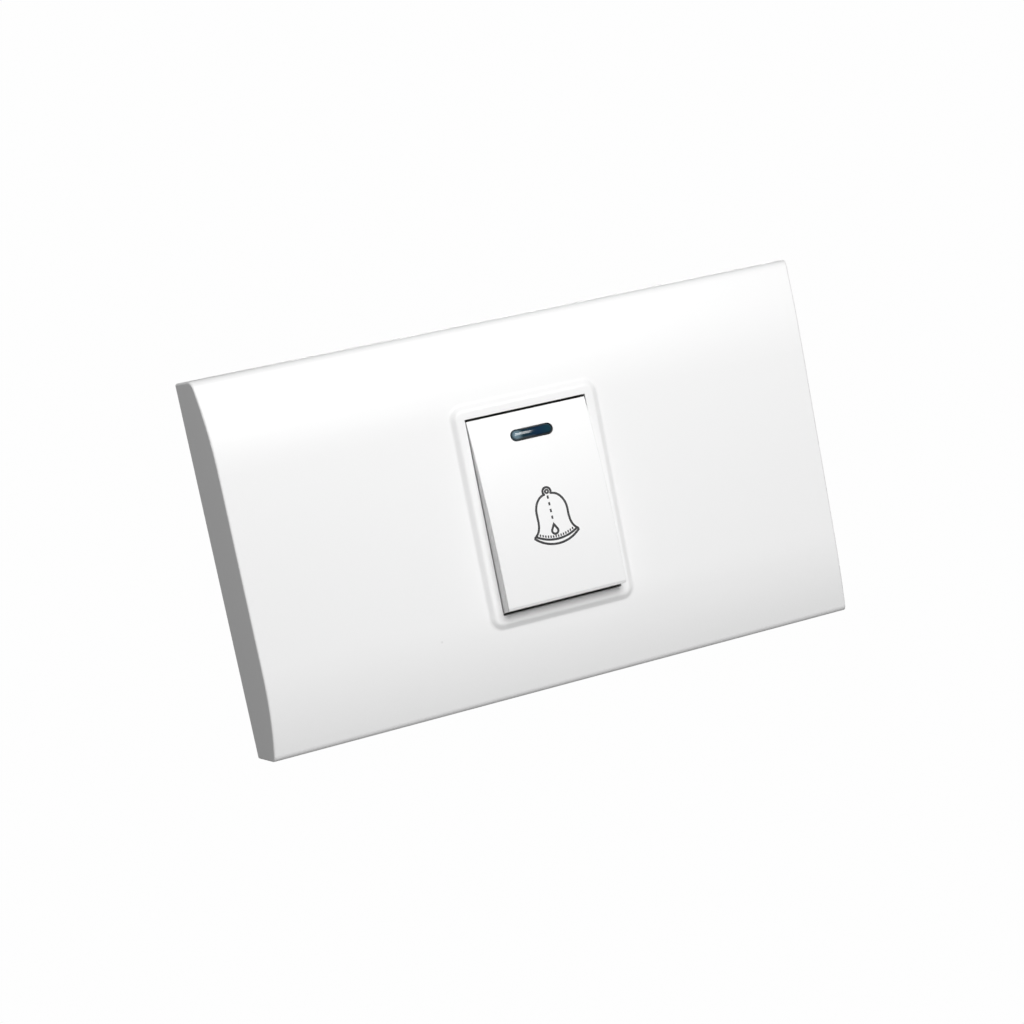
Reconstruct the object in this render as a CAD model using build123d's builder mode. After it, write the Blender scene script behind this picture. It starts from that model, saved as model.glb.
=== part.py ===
from build123d import *

import os
from math import cos, radians, sin, sqrt, tan

# A doorbell switch: a wall plate, its mounting frame, and the sprung rocker module behind it.
# Millimetres. The origin is in the wall plane at the plate's centre: +X right, +Z up, front towards -Y.

# Cover plate
plate_length = 120.0
plate_height = 70.0
plate_depth = 9.0
plate_wall = 2.0
plate_flat = 36.0            # height of the flat band of the front
shoulder_radius = 51.0
plate_edge_radius = 1.8
end_slope = 19.0             # degrees that the two end walls lean inwards
end_edge_radius = 0.4

# Collar round the rocker, moulded with the plate
opening_width = 23.4
opening_height = 36.8
collar_rise = 0.74
collar_rim = 1.58            # width of the collar's top
collar_slope = 1.0           # run of its outer slope
collar_corner_radius = 1.4
collar_root = 0.2            # the slope runs on this far below the plate's surface
collar_edge_radius = 0.9
collar_foot_radius = 0.8
opening_edge_radius = 0.1
opening_land = 0.8           # depth of the opening's narrow part, from the collar's top
opening_relief = 0.5         # the opening is this much wider behind it, all round

# Mounting frame
frame_end_margin = 8.0       # from the plate's outline
frame_side_margin = 6.0
frame_thickness = 2.0
frame_stand = 1.2            # the frame's web stands this far off the wall
frame_corner_radius = 4.0
frame_rib = 1.6
frame_rib_rise = 1.6
frame_rib_spacing = 16.0     # between the two long ribs on the back
frame_foot_width = 14.0
frame_foot_height = 26.0
fixing_spacing = 83.5        # screw distance of the wall box
fixing_slot_length = 7.0
fixing_slot_width = 4.0

# Hooks that hold the plate to the frame
hook_spacing = 62.0
hook_width = 8.0
hook_thickness = 1.4
hook_bite = 0.9
hook_gap = 0.2
hook_tip_gap = 0.3           # from the hook's tip to the wall

# Wall box screws
box_screw_radius = 1.75
box_screw_neck_radius = 1.4  # plain neck, from the head to the wall plane
box_screw_head_radius = 3.4
box_screw_head_height = 2.0
box_screw_head_round = 1.0
box_screw_chamfer = 0.9
box_screw_reach = 18.0       # length behind the wall plane
recess_width = 0.9
recess_length = 3.8
recess_depth = 1.1

# Rocker
rocker_side_gap = 0.15
rocker_top_gap = 0.42
rocker_bottom_gap = 1.1      # from the chord's lower end, at rest
rocker_sink = 0.1            # its top edge lies below the collar's top
rocker_tilt = 6.6            # degrees, lower edge out
rocker_crown_radius = 130.0
rocker_skirt = 9.4
rocker_draft = 2.0           # degrees that the end walls lean inwards
rocker_wall = 1.4
rocker_face_wall = 1.6
rocker_edge_radius = 0.15
rocker_brow = 0.75           # the face ends this far above the chord's lower end
rocker_bevel = 0.6           # length of the bevel along the face's lower edge
rocker_bevel_slope = 31.0    # degrees from the chord
rocker_foot_reach = 0.3      # the lower wall leans out to this far below the chord's end
rocker_foot_depth = 5.5      # at this depth behind the chord
axle_radius = 1.4
axle_drop = 4.98             # the axles lie this far below the rocker's top edge
axle_setback = 2.8           # and this far behind the plate's inner face
axle_end_gap = 0.1
running_gap = 0.05
press_angle = 6.0            # travel from rest to pressed
stop_lug_width = 10.0
stop_lug_height = 1.35
stop_lug_thickness = 1.0

# Indicator lens
lens_length = 8.2
lens_width = 2.14
lens_drop = 4.34             # lens centre below the rocker's top edge
lens_rise = 0.7              # its middle stands this far out of the face
lens_dome_radius = 14.0      # along its length
lens_edge_radius = 0.95
lens_gap = 0.03
lens_flange = 0.7
lens_flange_thickness = 0.8

# Bell symbol, drawn about the ring's centre
bell_ring_height = 2.24      # ring centre above the rocker's middle
bell_offset = 0.01           # the drawing stands this far right of the middle
bell_body_offset = 0.19      # and the bell's body this far right of its ring
bell_stroke = 0.42
bell_ink_depth = 0.2
bell_ring_radius = 0.77
bell_ring_opening = 90.0     # degrees, open towards the bell
bell_eye_radius = 0.48
bell_eye_hole = 0.13
bell_side = [
    (0.6, -0.45),
    (1.83, -0.98),
    (2.58, -1.98),
    (2.94, -3.2),
    (2.96, -4.75),
    (3.12, -6.25),
    (4.36, -7.92),
]
bell_lip_height = -9.72      # lowest point of the lower arc
bell_rim_reach = 3.9
bell_rim_ends = -7.75
bell_rim_height = -8.87
dash_count = 4
dash_first = -1.05
dash_pitch = 1.26
dash_width = 0.36
dash_height = 0.6
tick_count = 14
tick_reach = 3.15
tick_middle = -8.35
tick_end_rise = 0.75
tick_width = 0.27
tick_height = 0.44
clapper_tip = -5.7
clapper_centre = -7.3
clapper_radius = 0.8

# Switch housing
housing_side_gap = 0.35      # between rocker and housing
housing_end_room = 1.2       # the chamber is this much longer than the opening at each end
housing_wall = 1.6
housing_front_gap = 0.5      # behind the plate's inner face
housing_corner_radius = 1.2
chamber_depth = 12.5
floor_thickness = 1.6
terminal_room = 12.8         # depth of the rear chamber
window_gap = 0.2
flange_width = 18.0
flange_reach = 2.4
flange_thickness = 1.4
catch_width = 8.0
catch_reach = 1.0
catch_length = 4.0
catch_gap = 0.15
lip_thickness = 0.9
back_thickness = 1.6
back_lip = 1.0
back_lip_gap = 0.1
screwdriver_gap = 0.4        # round each terminal screw's head
wire_hole_radius = 1.5

# Screws of the housing's back
back_screw_radius = 1.1
back_screw_head_radius = 2.0
back_screw_head_height = 1.0
back_screw_length = 8.0
back_slot_depth = 0.5
back_boss_gap = 0.3          # from the back's lip
back_boss_wall = 1.4
thread_gap = 0.05

# Contacts and terminals
contact_spacing = 10.4
strip_width = 5.0
strip_thickness = 0.8
strip_bend_radius = 1.0
strip_gap = 0.1
tip_radius = 1.3
tip_height = 0.8
contact_gap = 0.12           # left between the contact tips at full press
arm_below_tip = 2.6
arm_above_tip = 5.4
tab_setback = 6.6            # rear tab behind the floor
tab_length = 9.0
terminal_screw_radius = 1.5
terminal_head_radius = 2.6
terminal_head_height = 1.8
terminal_slot_width = 0.7
terminal_slot_depth = 0.8
terminal_shank_end = 2.0     # past the tab
clamp_width = 8.0
clamp_height = 7.0
clamp_thickness = 1.0
clamp_hole_gap = 0.15
wire_space = 2.2             # open gap between tab and clamp

# Contact bridge on the rocker
bridge_rise = 13.38          # above the rocker's lower edge
bridge_depth = 11.2          # behind the rocker's chord
bridge_length = 13.4
bridge_width = 4.4
bridge_thickness = 0.6
bridge_corner_radius = 1.1
bridge_seat_gap = 0.05
post_radius = 1.2
post_gap = 0.1
post_head_radius = 1.9
post_head_height = 0.7
post_boss_radius = 2.2
bridge_spring_length = 4.2
bridge_spring_radius = 1.75
bridge_spring_wire = 0.2     # wire radius
bridge_spring_pitch = 1.1

# Return spring
spring_rise = 5.68           # above the rocker's lower edge
spring_seat_depth = 6.4      # behind the rocker's chord
spring_seat_radius = 3.0
spring_pin_radius = 1.2
spring_pin_length = 1.6
spring_radius = 2.2
spring_wire = 0.2            # wire radius
spring_pitch = 1.7
spring_tilt_room = 0.35      # clearance at the tilted seat
spring_foot_gap = 0.05

# Stops for the pressed rocker
stop_gap = 0.25
stop_spacing = 15.0
stop_width = 3.0
stop_height = 2.4

# Lamp circuit
lamp_radius = 2.1
lamp_length = 8.0
lamp_depth = 10.2            # lamp axis behind the rocker's chord, in line with the lens
lamp_dome = 0.8
saddle_spacing = 4.8
saddle_width = 1.4
saddle_height = 5.2
seat_gap = 0.05
resistor_radius = 1.0
resistor_length = 5.0
resistor_end_radius = 0.3
resistor_drop = 5.5          # below the lamp
lead_radius = 0.25
lead_spread = 1.4            # distance of the lamp's two leads
lead_bend_radius = 0.8
lead_turn = 1.4              # from the lamp's end to the inner lead's turn
lead_step = 1.8              # between inner and outer lead
lead_slant = 4.5
solder_gap = 0.05

# Places that follow from the sizes
front_y = -plate_depth
inner_front_y = front_y + plate_wall
collar_y = front_y - collar_rise
frame_length = plate_length - 2 * frame_end_margin
frame_height = plate_height - 2 * frame_side_margin
frame_back_y = -frame_stand
frame_front_y = frame_back_y - frame_thickness
rocker_width = opening_width - 2 * rocker_side_gap
housing_inner_width = rocker_width + 2 * housing_side_gap
housing_inner_height = opening_height + 2 * housing_end_room
housing_width = housing_inner_width + 2 * housing_wall
housing_height = housing_inner_height + 2 * housing_wall
housing_front_y = inner_front_y + housing_front_gap
floor_y = housing_front_y + chamber_depth
floor_back_y = floor_y + floor_thickness
housing_back_y = floor_back_y + terminal_room

tilt_sin = sin(radians(rocker_tilt))
tilt_cos = cos(radians(rocker_tilt))
rocker_length = (opening_height - rocker_top_gap - rocker_bottom_gap) / tilt_cos
crown = rocker_crown_radius - sqrt(rocker_crown_radius**2 - (rocker_length / 2) ** 2)
rocker_up = Vector(0, tilt_sin, tilt_cos)
rocker_out = Vector(0, -tilt_cos, tilt_sin)
rocker_top = Vector(0, collar_y + rocker_sink, opening_height / 2 - rocker_top_gap)
rocker_middle = rocker_top - rocker_up * (rocker_length / 2)
pivot = Vector(0, inner_front_y + axle_setback, rocker_top.Z - axle_drop)

face_plane = Plane(origin=rocker_middle, x_dir=(1, 0, 0), z_dir=rocker_out)
side_plane = Plane(origin=rocker_middle, x_dir=rocker_up, z_dir=(1, 0, 0))


def at_y(y):
    """Plane that faces the front, at the place y along the depth."""
    return Plane.XZ.offset(-y)


def behind_face(depth):
    """Plane that faces out of the rocker, this far behind its chord."""
    return face_plane.offset(-depth)


def on_rocker(along, out):
    """Point of the rocker's middle plane, from its place along the chord and out of it."""
    return rocker_middle + rocker_up * along + rocker_out * out


def crown_height(along):
    """How far the rocker's face stands out of the chord at this place along it."""
    return crown - rocker_crown_radius + sqrt(rocker_crown_radius**2 - along**2)


def when_pressed(point):
    """Where a point of the rocker is once the rocker is pressed home."""
    return pivot + (point - pivot).rotate(Axis.X, press_angle)


# Cover plate
def shoulder_drop(height, inset=0.0):
    """How far the plate's front has fallen back at this height above the middle."""
    radius = shoulder_radius - inset
    return radius - sqrt(radius**2 - max(height - plate_flat / 2, 0) ** 2)


def plate_section(inset):
    """Section of the plate across its height, drawn inside the surface by inset."""
    flat = plate_flat / 2
    side = plate_height / 2 - inset
    face = front_y + inset
    edge = face + shoulder_drop(side, inset)
    with BuildSketch(Plane.YZ) as section:
        with BuildLine():
            Polyline((edge, -side), (0, -side), (0, side), (edge, side))
            TangentArc((face, flat), (edge, side), tangent=(0, 1))
            Line((face, -flat), (face, flat))
            TangentArc((face, -flat), (edge, -side), tangent=(0, -1))
        make_face()
    return section.sketch


def plate_plan(inset):
    """Plan of the plate: a trapezium, because both end walls lean inwards."""
    half = plate_length / 2 - inset / cos(radians(end_slope))
    lean = (plate_depth + collar_rise) * tan(radians(end_slope))
    with BuildSketch(Plane.XY) as plan:
        with BuildLine():
            Polyline((-half, 0), (half, 0), (half - lean, collar_y), (lean - half, collar_y), close=True)
        make_face()
    return plan.sketch


with BuildPart() as plate_cavity:
    extrude(plate_section(plate_wall), amount=plate_length, both=True)
    extrude(plate_plan(plate_wall), amount=plate_height, both=True, mode=Mode.INTERSECT)

hook_root_y = front_y + shoulder_drop(frame_height / 2 + hook_gap + hook_thickness) + plate_wall / 2
hook_inside = frame_height / 2 + hook_gap
hook_outside = hook_inside + hook_thickness
hook_outline = [
    (hook_root_y, hook_inside),
    (hook_root_y, hook_outside),
    (-hook_tip_gap, hook_outside),
    (-hook_tip_gap, hook_inside),
    (frame_back_y + hook_gap / 2, hook_inside - hook_bite),
    (frame_back_y + hook_gap / 2, hook_inside),
]

rim_width = opening_width + 2 * collar_rim
rim_height = opening_height + 2 * collar_rim
collar_foot_y = front_y + shoulder_drop(rim_height / 2 + collar_slope) + collar_root
collar_run = collar_slope * (collar_foot_y - collar_y) / collar_rise

with BuildPart() as cover_plate:
    extrude(plate_section(0), amount=plate_length, both=True)
    long_edges = cover_plate.edges().filter_by(Axis.X).group_by(Axis.Z)
    fillet([long_edges[0].sort_by(Axis.Y)[0], long_edges[-1].sort_by(Axis.Y)[0]], plate_edge_radius)
    extrude(plate_plan(0), amount=plate_height, both=True, mode=Mode.INTERSECT)
    for end in (0, -1):
        end_face = cover_plate.faces().sort_by(Axis.X)[end]
        fillet(end_face.edges().sort_by(Axis.Y)[:-1], end_edge_radius)
    with BuildSketch(at_y(collar_foot_y)):
        RectangleRounded(
            rim_width + 2 * collar_run, rim_height + 2 * collar_run, collar_corner_radius + collar_run
        )
    with BuildSketch(at_y(collar_y)):
        RectangleRounded(rim_width, rim_height, collar_corner_radius)
    loft(ruled=True)
    collar_edges = cover_plate.edges(Select.LAST).filter_by_position(Axis.X, -rim_width, rim_width)
    foot_edges = collar_edges.filter_by_position(Axis.Y, front_y - collar_rise / 4, 0)
    fillet(foot_edges, collar_foot_radius)
    collar_top = cover_plate.faces().sort_by(Axis.Y)[0]
    fillet(collar_top.edges(), collar_edge_radius)
    add(plate_cavity.part, mode=Mode.SUBTRACT)
    with BuildSketch(at_y(0)):
        Rectangle(opening_width, opening_height)
    extrude(amount=-collar_y, mode=Mode.SUBTRACT)
    opening_rim = cover_plate.faces().sort_by(Axis.Y)[0].inner_wires()[0]
    fillet(opening_rim.edges(), opening_edge_radius)
    with BuildSketch(at_y(collar_y + opening_land)):
        Rectangle(opening_width + 2 * opening_relief, opening_height + 2 * opening_relief)
    extrude(amount=-plate_wall - collar_rise, mode=Mode.SUBTRACT)
    for side in (1, -1):
        for x in (-hook_spacing / 2, hook_spacing / 2):
            with BuildSketch(Plane.YZ.offset(x)):
                with BuildLine():
                    Polyline(*[(y, side * z) for y, z in hook_outline], close=True)
                make_face()
            extrude(amount=hook_width / 2, both=True)

# Mounting frame
window_width = housing_width + 2 * window_gap
window_height = housing_height + 2 * window_gap
fixing_places = [(-fixing_spacing / 2, 0), (fixing_spacing / 2, 0)]

with BuildPart() as mounting_frame:
    with BuildSketch(at_y(frame_back_y)):
        RectangleRounded(frame_length, frame_height, frame_corner_radius)
    extrude(amount=frame_thickness)
    with BuildSketch(at_y(frame_front_y)):
        RectangleRounded(frame_length, frame_height, frame_corner_radius)
        RectangleRounded(
            frame_length - 2 * frame_rib,
            frame_height - 2 * frame_rib,
            frame_corner_radius - frame_rib,
            mode=Mode.SUBTRACT,
        )
    extrude(amount=frame_rib_rise)
    with BuildSketch(at_y(0)):
        with Locations(*fixing_places):
            RectangleRounded(frame_foot_width, frame_foot_height, frame_rib)
        with Locations((0, -frame_rib_spacing / 2), (0, frame_rib_spacing / 2)):
            Rectangle(fixing_spacing, frame_rib)
        with GridLocations(window_width + frame_rib, 0, 2, 1):
            Rectangle(frame_rib, window_height)
    extrude(amount=frame_stand)
    with BuildSketch(at_y(0)):
        Rectangle(window_width, window_height)
        with Locations(*fixing_places):
            SlotOverall(fixing_slot_length, fixing_slot_width)
    extrude(amount=2 * frame_stand + frame_thickness, mode=Mode.SUBTRACT)

# Wall box screws
with BuildPart() as box_screws:
    with BuildSketch(at_y(frame_front_y)):
        with Locations(*fixing_places):
            Circle(box_screw_head_radius)
    extrude(amount=box_screw_head_height)
    head_rims = box_screws.edges().filter_by(GeomType.CIRCLE).group_by(Axis.Y)[0]
    fillet(head_rims, box_screw_head_round)
    with BuildSketch(at_y(0)):
        with Locations(*fixing_places):
            Circle(box_screw_neck_radius)
    extrude(amount=-frame_front_y)
    with BuildSketch(at_y(box_screw_reach)):
        with Locations(*fixing_places):
            Circle(box_screw_radius)
    extrude(amount=box_screw_reach)
    tip_rims = box_screws.edges().filter_by(GeomType.CIRCLE).group_by(Axis.Y)[-1]
    chamfer(tip_rims, box_screw_chamfer)
    with BuildSketch(at_y(frame_front_y - box_screw_head_height)):
        with Locations(*fixing_places):
            Rectangle(recess_length, recess_width)
            Rectangle(recess_width, recess_length)
    extrude(amount=-recess_depth, mode=Mode.SUBTRACT)


# Rocker and what it carries
def under_crown(sink, length, width):
    """Block of the rocker's length and width, bounded in front by its crown sunk by sink."""
    with BuildPart() as block:
        with BuildSketch(side_plane):
            with Locations((0, crown - rocker_crown_radius)):
                Circle(rocker_crown_radius - sink)
            Rectangle(length, 2 * rocker_crown_radius, mode=Mode.INTERSECT)
        extrude(amount=width / 2, both=True)
        split(bisect_by=behind_face(rocker_skirt), keep=Keep.TOP)
    return block.part


bell_origin = (bell_offset, bell_ring_height)
bell_plane = Plane(origin=face_plane.from_local_coords(bell_origin), x_dir=(1, 0, 0), z_dir=rocker_out)
clapper_lean = clapper_radius / (clapper_tip - clapper_centre)


def teardrop(inset):
    """Face of the clapper drawn inside its outline by inset: a disc with a pointed top."""
    radius = clapper_radius - inset
    tip = clapper_tip - inset / clapper_lean
    touch_height = clapper_centre + radius * clapper_lean
    touch_reach = radius * sqrt(1 - clapper_lean**2)
    with BuildSketch(Plane.XY) as drop:
        with Locations((0, clapper_centre)):
            Circle(radius)
        with BuildLine():
            Polyline((0, tip), (-touch_reach, touch_height), (touch_reach, touch_height), close=True)
        make_face()
    return drop.sketch


with BuildPart() as bell_symbol:
    with BuildSketch(bell_plane):
        with BuildLine():
            CenterArc((0, 0), bell_ring_radius, bell_ring_opening / 2 - 90, 360 - bell_ring_opening)
        trace(line_width=bell_stroke)
        for side in (1, -1):
            with BuildLine():
                Spline(*[(bell_body_offset + side * x, z) for x, z in bell_side])
            trace(line_width=bell_stroke)
        lip_reach, lip_ends = bell_side[-1]
        with BuildLine():
            ThreePointArc(
                (bell_body_offset - lip_reach, lip_ends),
                (bell_body_offset, bell_lip_height),
                (bell_body_offset + lip_reach, lip_ends),
            )
        trace(line_width=bell_stroke)
        with BuildLine():
            ThreePointArc(
                (bell_body_offset - bell_rim_reach, bell_rim_ends),
                (bell_body_offset, bell_rim_height),
                (bell_body_offset + bell_rim_reach, bell_rim_ends),
            )
        trace(line_width=bell_stroke)
        Circle(bell_eye_radius)
        Circle(bell_eye_hole, mode=Mode.SUBTRACT)
        with Locations(*[(0, dash_first - dash_pitch * i) for i in range(dash_count)]):
            Rectangle(dash_width, dash_height)
        for i in range(tick_count):
            share = 2 * i / (tick_count - 1) - 1
            with Locations((bell_body_offset + share * tick_reach, tick_middle + tick_end_rise * share**2)):
                Rectangle(tick_width, tick_height)
        add(teardrop(0))
        add(teardrop(bell_stroke), mode=Mode.SUBTRACT)
    extrude(amount=2 * crown)
    add(under_crown(0, rocker_length, rocker_width), mode=Mode.INTERSECT)
    add(under_crown(bell_ink_depth, rocker_length, rocker_width), mode=Mode.SUBTRACT)

lens_along = rocker_length / 2 - lens_drop
lens_middle = on_rocker(lens_along, crown_height(lens_along))
lens_out = (lens_middle - on_rocker(0, crown - rocker_crown_radius)).normalized()
lens_up = Plane(origin=lens_middle, x_dir=(1, 0, 0), z_dir=lens_out).y_dir
dome_centre = lens_middle + lens_out * (lens_rise - lens_dome_radius)
bridge_along = bridge_rise - rocker_length / 2
spring_along = spring_rise - rocker_length / 2
bridge_back = bridge_depth + bridge_thickness
skirt_end = rocker_length / 2 - rocker_skirt * tan(radians(rocker_draft))
axle_end = housing_width / 2 - axle_end_gap
brow_along = rocker_brow - rocker_length / 2
lower_edge = (brow_along, crown_height(brow_along))
bevel_end = (
    lower_edge[0] - rocker_bevel * cos(radians(rocker_bevel_slope)),
    lower_edge[1] - rocker_bevel * sin(radians(rocker_bevel_slope)),
)

with BuildPart() as rocker:
    with BuildSketch(side_plane):
        with BuildLine():
            ThreePointArc(lower_edge, (0, crown), (rocker_length / 2, 0))
            Polyline(
                (rocker_length / 2, 0),
                (skirt_end, -rocker_skirt),
                (-skirt_end, -rocker_skirt),
                (-rocker_length / 2 - rocker_foot_reach, -rocker_foot_depth),
                bevel_end,
                lower_edge,
            )
        make_face()
    extrude(amount=rocker_width / 2, both=True)
    crown_edges = rocker.faces().filter_by(GeomType.CYLINDER)[0].edges()
    rear_wall, lower_wall, bevel, *_, upper_wall = rocker.faces().sort_by(Axis.Z)
    wall_edges = rear_wall.edges() + lower_wall.edges() + bevel.edges() + upper_wall.edges()
    corner_edges = wall_edges.filter_by(Axis.X, reverse=True)
    fillet([*crown_edges, *(bevel.edges() - crown_edges - corner_edges), *corner_edges], rocker_edge_radius)
    hollow = under_crown(rocker_face_wall, 2 * (skirt_end - rocker_wall), rocker_width - 2 * rocker_wall)
    add(hollow, mode=Mode.SUBTRACT)
    for side in (1, -1):
        with BuildSketch(Plane.YZ.offset(side * (rocker_width / 2 - rocker_wall))):
            with Locations((pivot.Y, pivot.Z)):
                Circle(axle_radius)
        extrude(amount=side * (axle_end - rocker_width / 2 + rocker_wall))
    with BuildSketch(behind_face(rocker_skirt)):
        with Locations((0, -skirt_end)):
            Rectangle(stop_lug_width, 2 * stop_lug_height)
    extrude(amount=stop_lug_thickness)
    with BuildSketch(behind_face(bridge_depth - bridge_spring_length)):
        with Locations((0, bridge_along)):
            Circle(post_boss_radius)
    extrude(amount=bridge_depth - bridge_spring_length)
    with BuildSketch(behind_face(bridge_back + bridge_seat_gap)):
        with Locations((0, bridge_along)):
            Circle(post_radius)
    extrude(amount=bridge_back)
    with BuildSketch(behind_face(bridge_back + bridge_seat_gap)):
        with Locations((0, bridge_along)):
            Circle(post_head_radius)
    extrude(amount=-post_head_height)
    with BuildSketch(behind_face(spring_seat_depth)):
        with Locations((0, spring_along)):
            Circle(spring_seat_radius)
    extrude(amount=spring_seat_depth)
    with BuildSketch(behind_face(spring_seat_depth + spring_pin_length)):
        with Locations((0, spring_along)):
            Circle(spring_pin_radius)
    extrude(amount=spring_seat_depth)
    with BuildSketch(face_plane):
        with Locations((0, lens_along)):
            SlotOverall(lens_length + 2 * lens_gap, lens_width + 2 * lens_gap)
    extrude(amount=rocker_skirt, both=True, mode=Mode.SUBTRACT)
    add(bell_symbol.part, mode=Mode.SUBTRACT)

with BuildPart() as indicator_lens:
    with BuildSketch(face_plane):
        with Locations((0, lens_along)):
            SlotOverall(lens_length, lens_width)
    extrude(amount=rocker_skirt / 2, both=True)
    with BuildSketch(Plane(origin=dome_centre, x_dir=(1, 0, 0), z_dir=lens_up)):
        Circle(lens_dome_radius)
    extrude(amount=rocker_length, both=True, mode=Mode.INTERSECT)
    lens_front = indicator_lens.faces().sort_by(Axis(rocker_middle, rocker_out))[-1]
    fillet(lens_front.edges(), lens_edge_radius)
    with BuildSketch(face_plane):
        with Locations((0, lens_along)):
            SlotOverall(lens_length + 2 * lens_flange, lens_width + 2 * lens_flange)
    extrude(amount=-rocker_skirt / 2)
    flange_back = under_crown(rocker_face_wall + lens_flange_thickness, rocker_length, rocker_width)
    add(flange_back, mode=Mode.SUBTRACT)
    add(rocker.part, mode=Mode.SUBTRACT)

with BuildPart() as contact_bridge:
    with BuildSketch(behind_face(bridge_back)):
        with Locations((0, bridge_along)):
            RectangleRounded(bridge_length, bridge_width, bridge_corner_radius)
            Circle(post_radius + post_gap, mode=Mode.SUBTRACT)
    extrude(amount=bridge_thickness)

tip_places = [(-contact_spacing / 2, bridge_along), (contact_spacing / 2, bridge_along)]
with BuildPart() as bridge_tips:
    with BuildSketch(behind_face(bridge_back + tip_height)):
        with Locations(*tip_places):
            Circle(tip_radius)
    extrude(amount=tip_height)


def coil(start, direction, length, radius, wire, pitch):
    """Coil spring of round wire, its wire centre running from start along direction."""
    with BuildPart() as spring:
        with BuildLine() as path:
            Helix(pitch=pitch, height=length, radius=radius, center=start, direction=direction)
        with BuildSketch(Plane(origin=path.line @ 0, z_dir=path.line % 0)):
            Circle(wire)
        sweep(path=path.line, is_frenet=True)
    return spring


bridge_spring = coil(
    on_rocker(bridge_along, -bridge_depth + bridge_spring_wire + bridge_seat_gap),
    rocker_out,
    bridge_spring_length - 2 * bridge_spring_wire - 2 * bridge_seat_gap,
    bridge_spring_radius,
    bridge_spring_wire,
    bridge_spring_pitch,
)

# Return spring, from the housing's floor to the rocker's seat
spring_seat = on_rocker(spring_along, -spring_seat_depth)
spring_z = (spring_seat.Z + when_pressed(spring_seat).Z) / 2
spring_foot_y = floor_y - spring_wire - spring_foot_gap
return_spring = coil(
    (0, spring_foot_y, spring_z),
    (0, -1, 0),
    spring_foot_y - spring_seat.Y - spring_wire - spring_tilt_room,
    spring_radius,
    spring_wire,
    spring_pitch,
)

# Fixed contacts, placed from where the bridge's tips arrive
tip_home = when_pressed(on_rocker(bridge_along, -bridge_back - tip_height))
tip_front_y = tip_home.Y + contact_gap
arm_front_y = tip_front_y + tip_height
arm_back_y = arm_front_y + strip_thickness
arm_low_z = tip_home.Z - arm_below_tip
leg_z = tip_home.Z + arm_above_tip
leg_top_z = leg_z + strip_thickness / 2
tab_y = floor_back_y + tab_setback
tab_back_y = tab_y + strip_thickness / 2
terminal_screw_z = leg_z - tab_length / 2
terminal_places = [(-contact_spacing / 2, terminal_screw_z), (contact_spacing / 2, terminal_screw_z)]
clamp_front_y = tab_back_y + wire_space
clamp_back_y = clamp_front_y + clamp_thickness


def terminal(x):
    """Bent strip: contact arm in front of the floor, leg through it, screw tab behind it."""
    arm_y = arm_front_y + strip_thickness / 2
    with BuildPart() as strip:
        with BuildSketch(Plane.YZ.offset(x)):
            with BuildLine():
                FilletPolyline(
                    (arm_y, arm_low_z),
                    (arm_y, leg_z),
                    (tab_y, leg_z),
                    (tab_y, leg_z - tab_length),
                    radius=strip_bend_radius,
                )
            trace(line_width=strip_thickness)
        extrude(amount=strip_width / 2, both=True)
        with BuildSketch(at_y(tab_back_y)):
            with Locations((x, terminal_screw_z)):
                Circle(terminal_screw_radius + thread_gap)
        extrude(amount=2 * strip_thickness, mode=Mode.SUBTRACT)
    return strip


left_terminal = terminal(-contact_spacing / 2)
right_terminal = terminal(contact_spacing / 2)

with BuildPart() as fixed_tips:
    with BuildSketch(at_y(arm_front_y)):
        with Locations((-contact_spacing / 2, tip_home.Z), (contact_spacing / 2, tip_home.Z)):
            Circle(tip_radius)
    extrude(amount=tip_height)

with BuildPart() as terminal_clamps:
    with BuildSketch(at_y(clamp_back_y)):
        with Locations(*terminal_places):
            Rectangle(clamp_width, clamp_height)
            Circle(terminal_screw_radius + clamp_hole_gap, mode=Mode.SUBTRACT)
    extrude(amount=clamp_thickness)

with BuildPart() as terminal_screws:
    with BuildSketch(at_y(clamp_back_y)):
        with Locations(*terminal_places):
            Circle(terminal_head_radius)
    extrude(amount=-terminal_head_height)
    with BuildSketch(at_y(clamp_back_y)):
        with Locations(*terminal_places):
            Circle(terminal_screw_radius)
    extrude(amount=clamp_back_y - tab_y + terminal_shank_end)
    with BuildSketch(at_y(clamp_back_y + terminal_head_height)):
        with Locations(*terminal_places):
            Rectangle(2 * terminal_head_radius, terminal_slot_width)
    extrude(amount=terminal_slot_depth, mode=Mode.SUBTRACT)

# Lamp circuit
lamp_axis = on_rocker(lens_along, -lamp_depth)
lamp_y = lamp_axis.Y
lamp_z = lamp_axis.Z
resistor_z = lamp_z - resistor_drop
resistor_y = floor_y - resistor_radius - seat_gap

with BuildPart() as neon_lamp:
    with BuildSketch(Plane.YZ.offset(-lamp_length / 2)):
        with Locations((lamp_y, lamp_z)):
            Circle(lamp_radius)
    extrude(amount=lamp_length)
    fillet(neon_lamp.edges().filter_by(GeomType.CIRCLE).sort_by(Axis.X)[0], lamp_dome)

with BuildPart() as lamp_resistor:
    with BuildSketch(Plane.YZ.offset(-resistor_length / 2)):
        with Locations((resistor_y, resistor_z)):
            Circle(resistor_radius)
    extrude(amount=resistor_length)
    fillet(lamp_resistor.edges().filter_by(GeomType.CIRCLE), resistor_end_radius)

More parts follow.
